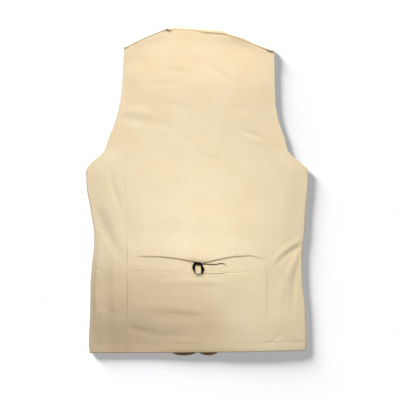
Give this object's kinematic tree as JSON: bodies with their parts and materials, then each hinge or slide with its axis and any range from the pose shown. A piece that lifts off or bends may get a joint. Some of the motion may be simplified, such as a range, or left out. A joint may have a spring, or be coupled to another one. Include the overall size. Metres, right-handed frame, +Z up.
{
  "type": "linen gilet",
  "caption": "Sleeveless waistcoat-style linen gilet, buttoned and laid flat with its back up, with a cinch strap and buckle across the lower back.",
  "frame": {"origin": "middle of the garment's box, on the surface that it lies on", "axes": "+Z is up, out of the garment's back; +Y runs from the hem to the neck; +X is the wearer's right"},
  "size_m": [0.462, 0.682, 0.0172],
  "materials": {
    "linen": "matte woven linen",
    "lining": "dull satin lining",
    "buckle": "black, half gloss",
    "button": "polished horn look"
  },
  "bodies": {
    "root": {"back": "linen", "neck_band": "linen", "front_left": "linen", "front_right": "linen", "lining_left": "lining", "lining_right": "lining", "strap_left": "linen", "strap_right": "linen", "buckle": "buckle", "button_1": "button", "button_2": "button", "button_3": "button", "button_4": "button", "button_5": "button"}
  },
  "joints": []
}
